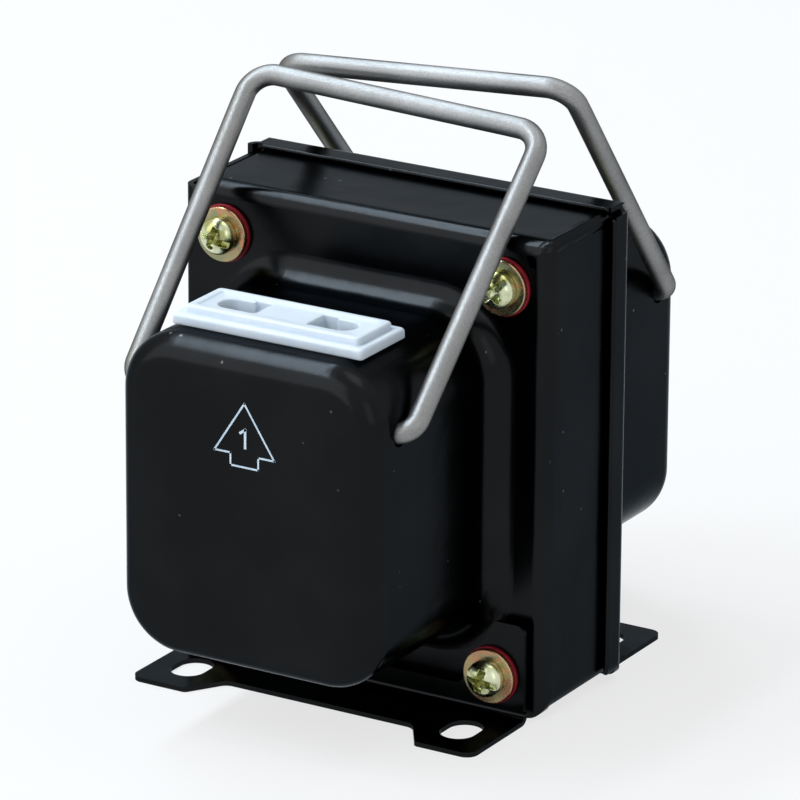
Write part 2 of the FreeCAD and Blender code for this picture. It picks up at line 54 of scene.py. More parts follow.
def set_camera():
    """The photograph's camera, in the part's own frame."""
    azimuth = math.radians(30.754)
    elevation = math.radians(19.322)
    roll = math.radians(0.405)
    distance = 1041.5 * MM
    target = Vector((0.9426, -3.0, 44.69)) * MM
    back = Vector((math.sin(azimuth) * math.cos(elevation),
                   -math.cos(azimuth) * math.cos(elevation), math.sin(elevation)))
    right = (-back).cross(Vector((0, 0, 1))).normalized()
    up = right.cross(-back)
    right_rolled = right * math.cos(roll) + up * math.sin(roll)
    up_rolled = up * math.cos(roll) - right * math.sin(roll)
    data = bpy.data.cameras.new("camera")
    data.sensor_width = SENSOR_WIDTH
    data.lens = FOCAL_LENGTH / PHOTO_WIDTH * SENSOR_WIDTH
    data.clip_start = 0.01
    data.clip_end = 20.0
    camera = bpy.data.objects.new("camera", data)
    scene.collection.objects.link(camera)
    turn = Matrix((right_rolled, up_rolled, back)).transposed().to_4x4()
    camera.matrix_world = Matrix.Translation(target + back * distance) @ turn
    scene.camera = camera


# ---------------------------------------------------------------- node helpers
MIX_A, MIX_B, MIX_RESULT = 6, 7, 2     # the colour sockets of a Mix node


class Shader:
    """A material's node tree with short ways to add nodes. Scales are per metre."""

    def __init__(self, name):
        self.material = bpy.data.materials.new(name)
        self.material.use_nodes = True
        self.tree = self.material.node_tree
        self.surface = self.tree.nodes["Principled BSDF"]

    def node(self, kind, **settings):
        made = self.tree.nodes.new(kind)
        for key, value in settings.items():
            setattr(made, key, value)
        return made

    def feed(self, socket, value):
        """Link another node's output to the socket, or set the socket's own value."""
        if isinstance(value, bpy.types.NodeSocket):
            self.tree.links.new(value, socket)
        else:
            socket.default_value = value

    def coords(self, stretch=(1, 1, 1)):
        """The object's own coordinates, in metres."""
        place = self.node("ShaderNodeTexCoord")
        mapping = self.node("ShaderNodeMapping")
        mapping.inputs["Scale"].default_value = stretch
        self.feed(mapping.inputs["Vector"], place.outputs["Object"])
        return mapping.outputs["Vector"]

    def attribute(self, name):
        return self.node("ShaderNodeAttribute", attribute_name=name).outputs["Vector"]

    def noise(self, vector, scale, detail=3.0, rough=0.5, warp=0.0):
        made = self.node("ShaderNodeTexNoise")
        self.feed(made.inputs["Vector"], vector)
        made.inputs["Scale"].default_value = scale
        made.inputs["Detail"].default_value = detail
        made.inputs["Roughness"].default_value = rough
        made.inputs["Distortion"].default_value = warp
        return made.outputs["Fac"]

    def cells(self, vector, scale):
        """Distance to the nearest of a cloud of scattered points."""
        made = self.node("ShaderNodeTexVoronoi", feature="F1")
        self.feed(made.inputs["Vector"], vector)
        made.inputs["Scale"].default_value = scale
        return made.outputs["Distance"]

    def span(self, value, a, b, low=0.0, high=1.0):
        """Carry the span a to b over to low to high, softly and held at the ends."""
        made = self.node("ShaderNodeMapRange", interpolation_type="SMOOTHSTEP")
        self.feed(made.inputs["Value"], value)
        made.inputs["From Min"].default_value = a
        made.inputs["From Max"].default_value = b
        made.inputs["To Min"].default_value = low
        made.inputs["To Max"].default_value = high
        return made.outputs["Result"]

    def math(self, kind, a, b):
        made = self.node("ShaderNodeMath", operation=kind)
        self.feed(made.inputs[0], a)
        self.feed(made.inputs[1], b)
        return made.outputs[0]

    def blend(self, factor, a, b):
        made = self.node("ShaderNodeMix", data_type="RGBA")
        self.feed(made.inputs["Factor"], factor)
        self.feed(made.inputs[MIX_A], a)
        self.feed(made.inputs[MIX_B], b)
        return made.outputs[MIX_RESULT]

    def bump(self, height, distance, strength=1.0, normal=None):
        """Surface normal tilted by a height, over an earlier normal if there is one."""
        made = self.node("ShaderNodeBump")
        made.inputs["Strength"].default_value = strength
        made.inputs["Distance"].default_value = distance
        self.feed(made.inputs["Height"], height)
        if normal is not None:
            self.feed(made.inputs["Normal"], normal)
        return made.outputs["Normal"]

    def set(self, **values):
        names = {"color": "Base Color", "rough": "Roughness", "metal": "Metallic",
                 "specular": "Specular IOR Level", "tint": "Specular Tint", "normal": "Normal",
                 "inside": "Subsurface Weight", "inside_scale": "Subsurface Scale",
                 "inside_radius": "Subsurface Radius"}
        for key, value in values.items():
            self.feed(self.surface.inputs[names[key]], value)


def rgb(red, green, blue):
    return (red, green, blue, 1.0)


# ---------------------------------------------------------------- materials
def black_enamel():
    """Semi-gloss baked enamel: slow waves, fine orange peel and dust specks.

    The black pigment swallows all that its skin does not mirror, so the colour is the
    share mirrored. The tint is painted shade in the gloss: it holds the reflection down at flat
    angles, darker and a little blue.
    """
    s = Shader("black_enamel")
    at = s.coords()
    cloud = s.noise(at, 60.0, 4.0)
    wave = s.noise(at, 110.0, 2.0)
    peel = s.noise(at, 900.0, 2.0)
    grit = s.noise(at, 3500.0, 2.0)
    dust = s.span(s.cells(at, 300.0), 0.10, 0.05)
    spots = s.math("MULTIPLY", dust, s.span(s.noise(at, 150.0, 1.0), 0.58, 0.66))
    colour = s.blend(s.span(cloud, 0.35, 0.7), rgb(0.0112, 0.0119, 0.0126),
                     rgb(0.0136, 0.0144, 0.0153))
    colour = s.blend(s.math("MULTIPLY", spots, 0.7), colour, rgb(0.16, 0.17, 0.17))
    rough = s.span(cloud, 0.3, 0.75, 0.19, 0.25)
    normal = s.bump(wave, 0.00018, 0.6)
    normal = s.bump(peel, 0.00002, 0.5, normal)
    normal = s.bump(grit, 0.000005, 0.5, normal)
    # painted shade in the gloss: the tint darkens the reflection at flat angles
    s.set(color=colour, rough=s.math("ADD", rough, s.math("MULTIPLY", spots, 0.25)), normal=normal,
          metal=1.0, tint=rgb(0.52, 0.54, 0.557))
    return s.material


def zinc(name, tints, rough):
    """Chromated zinc plate: the film's colours drift over it in soft patches."""
    s = Shader(name)
    at = s.coords()
    bloom = s.noise(at, 420.0, 2.0, 0.5, 1.2)
    drift = s.noise(at, 230.0, 2.0, 0.5, 0.6)
    colour = s.blend(s.span(bloom, 0.38, 0.55), rgb(*tints[0]), rgb(*tints[1]))
    colour = s.blend(s.span(drift, 0.45, 0.60), colour, rgb(*tints[2]))
    grain = s.noise(at, 4200.0, 3.0)
    s.set(color=colour, metal=1.0, rough=s.span(grain, 0.3, 0.7, rough, rough + 0.12),
          normal=s.bump(grain, 0.000010, 0.6))
    return s.material


def red_fibre():
    """Vulcanised fibre: dull red with short strands."""
    s = Shader("red_fibre")
    at = s.coords()
    strands = s.noise(at, 1500.0, 4.0, 0.6, 0.4)
    colour = s.blend(s.span(strands, 0.3, 0.7), rgb(0.20, 0.004, 0.012), rgb(0.34, 0.010, 0.028))
    s.set(color=colour, rough=0.5, normal=s.bump(strands, 0.00003, 0.7), specular=0.3)
    return s.material


def stainless():
    """Satin drawn wire: hair lines run along it."""
    s = Shader("stainless_wire")
    mapping = s.node("ShaderNodeMapping")
    mapping.inputs["Scale"].default_value = (60.0, 1.0, 1.0)
    s.feed(mapping.inputs["Vector"], s.attribute("wire_at"))
    lines = s.noise(mapping.outputs["Vector"], 6.0, 3.0, 0.7)
    at = s.coords()
    smear = s.noise(at, 90.0, 3.0)
    pits = s.noise(at, 2600.0, 3.0, 0.6)
    # partly the steel's own tone and partly painted shade: the base colour is kept dim, below real
    # steel, so the wire mirrors less of its bright surroundings
    colour = s.blend(s.span(smear, 0.3, 0.7), rgb(0.22, 0.223, 0.223), rgb(0.29, 0.294, 0.296))
    colour = s.blend(s.span(s.noise(at, 45.0, 2.0), 0.55, 0.7), colour, rgb(0.21, 0.205, 0.185))
    colour = s.blend(s.math("MULTIPLY", s.span(pits, 0.45, 0.62), 0.3), colour,
                     rgb(0.15, 0.152, 0.152))
    rough = s.math("ADD", s.span(smear, 0.3, 0.7, 0.36, 0.43), s.span(lines, 0.35, 0.7, 0.0, 0.08))
    normal = s.bump(lines, 0.000025, 0.5)
    # painted shade: the dark tint darkens the reflection at flat angles, so the wire's flanks come
    # out dark
    s.set(color=colour, metal=1.0, rough=rough, normal=s.bump(pits, 0.000022, 0.6, normal),
          tint=rgb(0.14, 0.14, 0.14))
    return s.material


def white_plastic():
    """Moulded plastic that lets a little light in, with faint flow marks."""
    s = Shader("white_plastic")
    at = s.coords()
    flow = s.noise(at, 120.0, 3.0)
    pores = s.noise(at, 2600.0, 2.0)
    colour = s.blend(s.span(flow, 0.3, 0.7), rgb(0.71, 0.78, 0.86), rgb(0.76, 0.82, 0.89))
    s.set(color=colour, rough=s.span(flow, 0.3, 0.7, 0.34, 0.42), specular=0.3,
          normal=s.bump(pores, 0.000015, 0.5), inside=0.6, inside_scale=0.0015,
          inside_radius=(1.0, 1.0, 1.0))
    return s.material


def print_white():
    """Screen print: thin pale blue-white ink, a little patchy."""
    s = Shader("print_white")
    at = s.coords()
    patch = s.noise(at, 700.0, 3.0, 0.6)
    colour = s.blend(s.span(patch, 0.3, 0.7), rgb(0.52, 0.63, 0.72), rgb(0.66, 0.77, 0.85))
    s.set(color=colour, rough=0.45, specular=0.2, normal=s.bump(patch, 0.00001, 0.5))
    return s.material


def plain(name, low, high, rough, scale=800.0, metal=0.0, depth=0.00003):
    """Hidden pieces: two tones, a fine grain and matching bumps."""
    s = Shader(name)
    at = s.coords()
    grain = s.noise(at, scale, 4.0, 0.6)
    colour = s.blend(s.span(grain, 0.3, 0.7), rgb(*low), rgb(*high))
    s.set(color=colour, rough=s.span(grain, 0.3, 0.7, rough - 0.06, rough + 0.06), metal=metal,
          normal=s.bump(grain, depth, 0.6))
    return s.material


def laminated():
    """Edges of the stacked sheets, which lie across Y, each with its own shade."""
    s = Shader("core_steel")
    sheets = s.node("ShaderNodeTexWave", wave_type="BANDS", bands_direction="Y")
    s.feed(sheets.inputs["Vector"], s.coords())
    sheets.inputs["Scale"].default_value = 314.0
    sheets.inputs["Distortion"].default_value = 0.3
    lines = sheets.outputs["Fac"]
    tint = s.noise(s.coords((1.0, 2000.0, 1.0)), 1.0, 2.0)
    colour = s.blend(tint, rgb(0.08, 0.08, 0.085), rgb(0.14, 0.14, 0.145))
    colour = s.blend(s.span(lines, 0.25, 0.05), colour, rgb(0.02, 0.02, 0.02))
    s.set(color=colour, rough=0.5, metal=0.6, normal=s.bump(lines, 0.00008, 0.8))
    return s.material


MATERIALS = {
    "black_enamel": black_enamel(),
    "yellow_zinc": zinc("yellow_zinc", ((0.44, 0.48, 0.25), (0.60, 0.64, 0.45), (0.38, 0.38, 0.15)),
                        0.16),
    "zinc_washer": zinc("zinc_washer", ((0.50, 0.25, 0.14), (0.40, 0.32, 0.17), (0.26, 0.26, 0.15)),
                        0.22),
    "print_white": print_white(),
    "red_fibre": red_fibre(),
    "stainless_wire": stainless(),
    "white_plastic": white_plastic(),
    "core_steel": laminated(),
    "bobbin_nylon": plain("bobbin_nylon", (0.62, 0.59, 0.50), (0.70, 0.67, 0.58), 0.45),
    "fuse_case": plain("fuse_case", (0.62, 0.62, 0.60), (0.72, 0.72, 0.70), 0.4),
    "sleeve_tube": plain("sleeve_tube", (0.40, 0.29, 0.15), (0.48, 0.36, 0.20), 0.5),
    "spring_steel": plain("spring_steel", (0.50, 0.50, 0.51), (0.60, 0.60, 0.61), 0.3,
                          3000.0, 1.0, 0.00001),
    "contact_brass": plain("contact_brass", (0.70, 0.50, 0.20), (0.78, 0.58, 0.26), 0.3,
                           3000.0, 1.0, 0.00001),
    "lead_insulation": plain("lead_insulation", (0.02, 0.02, 0.022), (0.035, 0.035, 0.038), 0.5),
    "enamelled_copper": plain("enamelled_copper", (0.42, 0.13, 0.04), (0.52, 0.18, 0.06), 0.3,
                              2000.0, 0.8),
    "insulation_paper": plain("insulation_paper", (0.60, 0.50, 0.33), (0.70, 0.60, 0.42), 0.8),
    "wrap_tape": plain("wrap_tape", (0.70, 0.52, 0.10), (0.78, 0.60, 0.15), 0.35),
}


def dress_nodes():
    """Every CAD node gets the material of its slot."""
    for row in frame["record"]["subparts"]:
        node = nodes[row["node"]]
        material = MATERIALS[row["material_slot"]]
        node.data.materials.clear()
        node.data.materials.append(material)


# ---------------------------------------------------------------- meshes
def add_object(name, made, material, body):
    """Turn a finished bmesh into a piece that rides on a body of the frame."""
    mesh = bpy.data.meshes.new(name)
    made.to_mesh(mesh)
    made.free()
    piece = bpy.data.objects.new(name, mesh)
    scene.collection.objects.link(piece)
    mesh.materials.append(MATERIALS[material])
    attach(piece, body)
    return piece


def loft(made, rings, close=False):
    """Faces between each ring of vertices and the next one."""
    for low, high in zip(rings, rings[1:] + rings[:1] if close else rings[1:]):
        for n in range(len(low)):
            m = (n + 1) % len(low)
            made.faces.new((low[n], low[m], high[m], high[n]))


def finish_tube(made, rings):
    """Close a lofted tube at both ends, with smooth sides and flat ends."""
    made.faces.new(list(reversed(rings[0])))
    made.faces.new(rings[-1])
    bmesh.ops.recalc_face_normals(made, faces=made.faces)
    for face in made.faces:
        face.smooth = len(face.verts) == 4


def rounded_path(corners, radii, arc_steps=12, run_step=2 * MM):
    """Points along straight runs between corners, with an arc at each inner corner."""
    points = []
    start = corners[0]
    for before, corner, after, radius in zip(corners, corners[1:], corners[2:], radii):
        back = (before - corner).normalized()
        on = (after - corner).normalized()
        half = back.angle(on) / 2
        run = radius / math.tan(half)
        first = corner + back * run
        last = corner + on * run
        centre = corner + (back + on).normalized() * (radius / math.sin(half))
        points += straight(start, first, run_step)
        a = first - centre
        b = last - centre
        sweep = a.angle(b)
        for k in range(1, arc_steps):
            share = k / arc_steps
            arm = a * math.sin((1 - share) * sweep) + b * math.sin(share * sweep)
            points.append(centre + arm / math.sin(sweep))
        start = last
    points += straight(start, corners[-1], run_step)
    points.append(corners[-1])
    return points


def straight(start, end, step):
    """Points about one step apart, from the start up to but not at the end."""
    count = max(1, round((end - start).length / step))
    return [start.lerp(end, k / count) for k in range(count)]


def wire_mesh(points, radius, sides=28, end_round=0.3 * MM):
    """Round wire along points, with the place along and round it kept for the material."""
    made = bmesh.new()
    layer = made.verts.layers.float_vector.new("wire_at")
    tangents = []
    for k in range(len(points)):
        before = points[max(k - 1, 0)]
        after = points[min(k + 1, len(points) - 1)]
        tangents.append((after - before).normalized())
    normal = tangents[0].orthogonal().normalized()
    rings = []
    travelled = 0.0
    stations = [(0, radius - end_round, 0.0), (0, radius, end_round)]
    stations += [(k, radius, 0.0) for k in range(1, len(points) - 1)]
    stations += [(len(points) - 1, radius, -end_round), (len(points) - 1, radius - end_round, 0.0)]
    last_point = points[0]
    for k, r, shift in stations:
        tangent = tangents[k]
        normal = (normal - tangent * normal.dot(tangent)).normalized()
        side = tangent.cross(normal)
        centre = points[k] + tangent * shift
        travelled += (centre - last_point).length
        last_point = centre
        ring = []
        for n in range(sides):
            angle = 2 * math.pi * n / sides
            vert = made.verts.new(centre + (normal * math.cos(angle) + side * math.sin(angle)) * r)
            vert[layer] = Vector((angle / (2 * math.pi), travelled * 10, 0.0))
            ring.append(vert)
        rings.append(ring)
    loft(made, rings)
    finish_tube(made, rings)
    return made


# ---------------------------------------------------------------- bails
# The same sizes as the frame's wires
WIRE = 3.4 * MM
LEG = 54.6 * MM
BAIL_HALF = 25.5 * MM      # from the middle to a leg
BAIL_END = 17.5 * MM       # from the middle to the end of the wire, inside the bulge
BAIL_BENDS = (3.0 * MM, 4.3 * MM, 4.3 * MM, 3.0 * MM)
BAIL_PIVOT = Vector((0, -40.7, 54.65)) * MM
TWIST = math.radians(4.3)  # between the two legs


def make_bail(name, body, node, lean, facing):
    """One bail; facing is 1 for the front and -1 for the rear, which is turned half round."""
    left = math.radians(lean) - TWIST / 2
    right = math.radians(lean) + TWIST / 2
    corners = [Vector((-BAIL_END, 0, 0)),
               Vector((-BAIL_HALF, 0, 0)),
               Vector((-BAIL_HALF, LEG * math.sin(left), LEG * math.cos(left))),
               Vector((BAIL_HALF, LEG * math.sin(right), LEG * math.cos(right))),
               Vector((BAIL_HALF, 0, 0)),
               Vector((BAIL_END, 0, 0))]
    corners = [BAIL_PIVOT + c for c in corners]
    if facing < 0:
        corners = [Vector((-c.x, -c.y, c.z)) for c in corners]
    made = wire_mesh(rounded_path(corners, BAIL_BENDS), WIRE / 2)
    piece = add_object(name, made, "stainless_wire", body)
    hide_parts(node)


# ---------------------------------------------------------------- screws and washers
# Places in the frame, in metres
HOLE_X = 25.4 * MM
HOLE_LOW = 7.3 * MM
HOLE_HIGH = 70.8 * MM
MIDDLE_Y = -1.2 * MM       # middle of the core
FLANGE = 11.8 * MM         # from there to a flange's face
FOOT_EXTRA = 2.3 * MM      # a foot's tab and its spacer under the lower washers

# Fastenings, in millimetres
FIBRE = {"outer": 4.75, "bore": 1.62, "t": 0.6, "edge": 0.08, "groove": 0.12}
WASHER = {"outer": 4.5, "bore": 1.6, "t": 0.8, "edge": 0.22}
HEAD_RADIUS = 3.05
HEAD_RIM = 0.8             # straight rim under the dome
DOME = 1.9                 # height of the dome over the rim
DOME_CROWN = 2.7           # exponents of its section: a flat crown and round shoulders
DOME_SHOULDER = 1 / 1.9
RECESS_DEPTH = 1.9         # of the cross, in its middle
RECESS_RISE = 1.1          # its floor comes up by this towards the ends
RECESS_WIDTH = (0.40, 0.66)    # half width at the floor and at the top of the wall
RECESS_LENGTH = (1.68, 1.95)   # half length there
SLOT_FLOOR = 1.62          # height of the long slot's floor
SLOT_WIDTH = (0.42, 0.56)
SHANK_RADIUS = 1.5
PITCH = 0.5
THREAD_DEPTH = 0.28
THREAD_START = 19.0        # behind the head's seat
THREAD_RUN = 15.6
SCREW_LENGTH = 35.0
END_RADIUS = 1.05          # of the chamfered end
SCREW_SIDES = 144
HEAD_RINGS = 52
THREAD_RINGS = 300
SCREW_TURNS = (-0.35, 0.95, 0.75, -0.24)   # of the recesses, in radians


def lathe(made, profile, centre, facing, sides=96):
    """Solid ring round Y from a closed profile of (radius, height) points in millimetres."""
    rings = []
    for radius, height in profile:
        ring = []
        for n in range(sides):
            angle = 2 * math.pi * n / sides
            arm = Vector((radius * math.cos(angle), -facing * height, radius * math.sin(angle)))
            ring.append(made.verts.new(centre + arm * MM))
        rings.append(ring)
    loft(made, rings, close=True)


def washer_profile(outer, bore, t, edge, groove=0.0):
    """Closed section of a washer with rounded outer edges, seat at height 0."""
    points = [(bore, 0.0), (bore, t)]
    for k in range(7):
        angle = math.pi / 2 * (1 - k / 6)
        points.append((outer - edge + edge * math.cos(angle), t - edge + edge * math.sin(angle)))
    if groove > 0:
        points += [(outer, t * 0.56), (outer - groove, t * 0.5), (outer, t * 0.44)]
    for k in range(7):
        angle = -math.pi / 2 * k / 6
        points.append((outer - edge + edge * math.cos(angle), edge + edge * math.sin(angle)))
    return points


def smooth_step(a, b, value):
    """0 below a, 1 above b and a soft rise between."""
    share = min(1.0, max(0.0, (value - a) / (b - a)))
    return share * share * (3 - 2 * share)


def head_height(u, w, turn):
    """Height of the pan head above its seat, with a cross recess and one long slot."""
    r = math.hypot(u, w)
    dome = HEAD_RIM + DOME * max(0.0, 1 - (r / HEAD_RADIUS) ** DOME_CROWN) ** DOME_SHOULDER
    along = u * math.cos(turn) + w * math.sin(turn)
    across = -u * math.sin(turn) + w * math.cos(turn)
    height = dome
    for a, b in ((along, across), (across, along)):
        deep = RECESS_DEPTH - RECESS_RISE * smooth_step(0.2, 1.8, abs(a))
        wall = 1 - smooth_step(*RECESS_WIDTH, abs(b))
        end = 1 - smooth_step(*RECESS_LENGTH, abs(a))
        height = min(height, dome - deep * wall * end)
    slot = 1 - smooth_step(*SLOT_WIDTH, abs(across))
    return min(height, dome + (min(dome, SLOT_FLOOR) - dome) * slot)


def screw_mesh(made, x, z, extra, turn):
    """Screw with its head in front: one closed surface from the crown to the thread's end."""
    seat = MIDDLE_Y - FLANGE - (FIBRE["t"] + WASHER["t"]) * MM - extra
    angles = [2 * math.pi * n / SCREW_SIDES for n in range(SCREW_SIDES)]
    round_about = [(math.cos(angle), math.sin(angle)) for angle in angles]
    rings = []
    for k in range(1, HEAD_RINGS + 1):
        radius = HEAD_RADIUS * k / HEAD_RINGS
        ring = [(radius * c, radius * s) for c, s in round_about]
        rings.append([(u, w, head_height(u, w, turn)) for u, w in ring])
    for radius, height in ((HEAD_RADIUS, 0.5), (3.0, 0.12), (2.9, 0.0), (SHANK_RADIUS, 0.0),
                           (SHANK_RADIUS, -THREAD_START)):
        rings.append([(radius * c, radius * s, height) for c, s in round_about])
    for k in range(THREAD_RINGS + 1):
        depth = THREAD_START + THREAD_RUN * k / THREAD_RINGS
        taper = END_RADIUS + (SCREW_LENGTH - depth)
        ring = []
        for n, (c, s) in enumerate(round_about):
            phase = (depth / PITCH - n / SCREW_SIDES) % 1.0
            radius = min(SHANK_RADIUS - THREAD_DEPTH * abs(2 * phase - 1), taper)
            ring.append((radius * c, radius * s, -depth))
        rings.append(ring)

    def vert(u, w, height):
        return made.verts.new(Vector((x + u * MM, seat - height * MM, z + w * MM)))
    rings = [[vert(*p) for p in ring] for ring in rings]
    loft(made, rings)
    for ring, height in ((rings[0], head_height(0, 0, turn)), (rings[-1], 0.2 - SCREW_LENGTH)):
        tip = vert(0, 0, height)
        for n in range(SCREW_SIDES):
            made.faces.new((ring[n], ring[(n + 1) % SCREW_SIDES], tip))


def each_hole():
    """Place of each screw, and how far the foot lifts its washers off the flange."""
    for x in (-HOLE_X, HOLE_X):
        yield x, HOLE_HIGH, 0.0
        yield x, HOLE_LOW, FOOT_EXTRA


def make_fastenings():
    """Screws, washers and fibre washers with the edges and recesses of real ones."""
    for k, (x, z, extra) in enumerate(each_hole()):
        made = bmesh.new()
        screw_mesh(made, x, z, extra, SCREW_TURNS[k])
        bmesh.ops.recalc_face_normals(made, faces=made.faces)
        piece = add_object("clamp_screw_%d" % (k + 1), made, "yellow_zinc", "transformer")
        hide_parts("clamp_screws")
    for facing, side in ((1, "front"), (-1, "rear")):
        metal = bmesh.new()
        fibre = bmesh.new()
        for x, z, extra in each_hole():
            seat = Vector((x, MIDDLE_Y - facing * (FLANGE + extra), z))
            lathe(fibre, washer_profile(**FIBRE), seat, facing)
            seat.y -= facing * FIBRE["t"] * MM
            lathe(metal, washer_profile(**WASHER), seat, facing)
        for made, name, material, slot in (
                (metal, side + "_washers", "zinc_washer", "yellow_zinc"),
                (fibre, side + "_fibre_washers", "red_fibre", "red_fibre")):
            bmesh.ops.recalc_face_normals(made, faces=made.faces)
            piece = add_object(name + "_turned", made, material, "transformer")
            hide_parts(name)


# ---------------------------------------------------------------- sockets
# Half lengths and half widths, and heights over the bench, in millimetres
SOCKET_MIDDLE = 33.9       # from the middle of the core
BODY = (14.5, 5.2)
PLATE = (17.15, 6.6)
BLOCK = (15.65, 5.1)
PANEL = (14.4, 3.95)
BODY_FOOT = 49.4
BULGE_TOP = 65.4           # the plate lies on it
PLATE_TOP = 67.1
SOCKET_TOP = 68.3
PANEL_TOP = 68.0
WELL_TOP = 64.9
WELL_FOOT = 55.0
PLATE_ROUND = 0.55         # radii of the upper edges
BLOCK_ROUND = 0.45
BLOCK_ROOT = 0.2           # radius of the hollow where the block stands on the plate
MOUTH_ROUND = 0.3          # radius of the openings' edges


def rounded_loop(corners, steps=8):
    """Closed outline through (x, y, radius) corners, the same number of points at each."""
    points = []
    for k, (x, y, radius) in enumerate(corners):
        corner = Vector((x, y))
        before = Vector(corners[k - 1][:2])
        after = Vector(corners[(k + 1) % len(corners)][:2])
        back = (before - corner).normalized()
        on = (after - corner).normalized()
        for n in range(steps + 1):
            share = n / steps
            angle = math.pi / 2 * share
            points.append(tuple(corner + back * radius * (1 - math.sin(angle))
                                + on * radius * (1 - math.cos(angle))))
    return points


def box_loop(half, away, radius):
    """Outline of a rounded box that lies this far inside the given half sizes."""
    x, y = half[0] - away, half[1] - away
    return rounded_loop([(-x, -y, radius), (x, -y, radius), (x, y, radius), (-x, y, radius)])


def pin_loop(side, g):
    """Mouth of an opening, grown by g: a slot for a flat pin that runs into one for a round pin."""
    corners = [(4.7 - g, -2.3 - g, 0.5 + g), (12.2 + g, -2.3 - g, 2.1 + g),
               (12.2 + g, 2.3 + g, 2.1 + g), (7.4 + g, 2.3 + g, 0.25 - g / 2),
               (7.4 + g, 3.0 + g, 0.3 + g / 2), (4.7 - g, 3.0 + g, 0.4 + g)]
    return [(side * x, y) for x, y in rounded_loop(corners)]


def pin_well(side):
    """The wider room under the mouth, for the contact."""
    corners = [(4.25, -3.4, 0.3), (12.25, -3.4, 3.2), (12.25, 3.4, 3.2), (7.4, 3.4, 0.01),
               (7.4, 3.45, 0.01), (4.25, 3.45, 0.3)]
    return [(side * x, y) for x, y in rounded_loop(corners)]


def socket_loops():
    """Outside of the socket, from its underside up to the rim of the shallow panel."""
    loops = [(box_loop(BODY, 0.0, 0.5), BODY_FOOT), (box_loop(BODY, 0.0, 0.5), BULGE_TOP),
             (box_loop(PLATE, 0.15, 0.5), BULGE_TOP), (box_loop(PLATE, 0.0, 0.6), BULGE_TOP + 0.15)]

    def round_edge(half, top, radius):
        for k in range(7):
            angle = math.pi / 2 * k / 6
            loops.append((box_loop(half, radius * (1 - math.cos(angle)), 0.7),
                          top - radius + radius * math.sin(angle)))

    round_edge(PLATE, PLATE_TOP, PLATE_ROUND)
    for k in range(4):
        angle = math.pi / 2 * k / 3
        loops.append((box_loop(BLOCK, -BLOCK_ROOT * (1 - math.sin(angle)), 0.7),
                      PLATE_TOP + BLOCK_ROOT * (1 - math.cos(angle))))
    round_edge(BLOCK, SOCKET_TOP, BLOCK_ROUND)
    for away, drop in ((0.0, 0.0), (0.1, 0.03), (0.2, 0.12), (0.28, 0.24), (0.4, 0.3)):
        loops.append((box_loop(PANEL, away, 0.5), SOCKET_TOP - drop))
    return loops


def make_sockets():
    """Moulded sockets with soft edges and a mouth shaped for both kinds of pin."""
    for facing, side in ((1, "front"), (-1, "rear")):
        made = bmesh.new()
        middle = MIDDLE_Y / MM - facing * SOCKET_MIDDLE

        def ring(loop, z):
            return [made.verts.new(Vector((facing * u, middle + facing * v, z)) * MM)
                    for u, v in loop]
        outside = [ring(loop, z) for loop, z in socket_loops()]
        loft(made, outside)
        made.faces.new(outside[0])
        rims = [outside[-1]]
        for hand in (-1, 1):
            mouth = []
            for k in range(6):
                angle = math.pi / 2 * k / 5
                mouth.append(ring(pin_loop(hand, MOUTH_ROUND * (1 - math.sin(angle))),
                                  PANEL_TOP - MOUTH_ROUND * (1 - math.cos(angle))))
            mouth.append(ring(pin_loop(hand, 0.0), WELL_TOP + 0.05))
            mouth.append(ring(pin_well(hand), WELL_TOP))
            mouth.append(ring(pin_well(hand), WELL_FOOT))
            loft(made, mouth)
            made.faces.new(mouth[-1])
            rims.append(mouth[0])
        edges = []
        for rim in rims:
            for n in range(len(rim)):
                edges.append(made.edges.get((rim[n], rim[(n + 1) % len(rim)])))
        bmesh.ops.triangle_fill(made, use_beauty=True, use_dissolve=False, edges=edges)
        bmesh.ops.recalc_face_normals(made, faces=made.faces)
        for face in made.faces:
            face.smooth = True
        piece = add_object(side + "_socket_moulded", made, "white_plastic", "transformer")
        piece.data.set_sharp_from_angle(angle=math.radians(38))
        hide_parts(side + "_socket")


# ---------------------------------------------------------------- enamel seam and beads
def make_seam():
    """Enamel that closes the slit between the upper skirt and the right side skirt.

    It lies in the round of the bend there, and turns down with the bend of the flange.
    """
    round_off = 1.2
    bend = 2.4                 # outer radius of the cover's bends
    bend_x, bend_y, bend_z = 31.11, -10.6, 76.51    # the middles of the bends
    back_y = 5.6
    made = bmesh.new()
    rings = []
    stations = [(back_y + (bend_y - back_y) * k / 24, 0.0) for k in range(24)]
    for k in range(13):
        turn = math.pi / 2 * k / 12
        stations.append((bend_y - bend * math.sin(turn), turn))
    for k, (y, turn) in enumerate(stations):
        top = bend_z + bend * math.cos(turn)
        right = bend_x + bend * math.cos(turn)
        dent = 0.10 * math.sin(turn * 2) * math.sin(turn * 7 + 0.5)
        ring = [(right - 1.1, top - 1.9), (right - 1.8, top - 0.3), (right - 1.7, top - 0.01)]
        for n in range(13):
            angle = math.pi / 2 * (1 - n / 12)
            arm = round_off + dent * math.sin(n * 0.9) + 0.02 * math.sin(k * 0.7 + n * 0.4)
            ring.append((right - round_off + arm * math.cos(angle),
                         top - round_off + arm * math.sin(angle)))
        ring += [(right - 0.01, top - 1.9), (right - 0.2, top - 2.05)]
        rings.append([made.verts.new(Vector((u, y, v)) * MM) for u, v in ring])
    loft(made, rings)
    finish_tube(made, rings)
    add_object("front_skirt_seam", made, "black_enamel", "transformer")


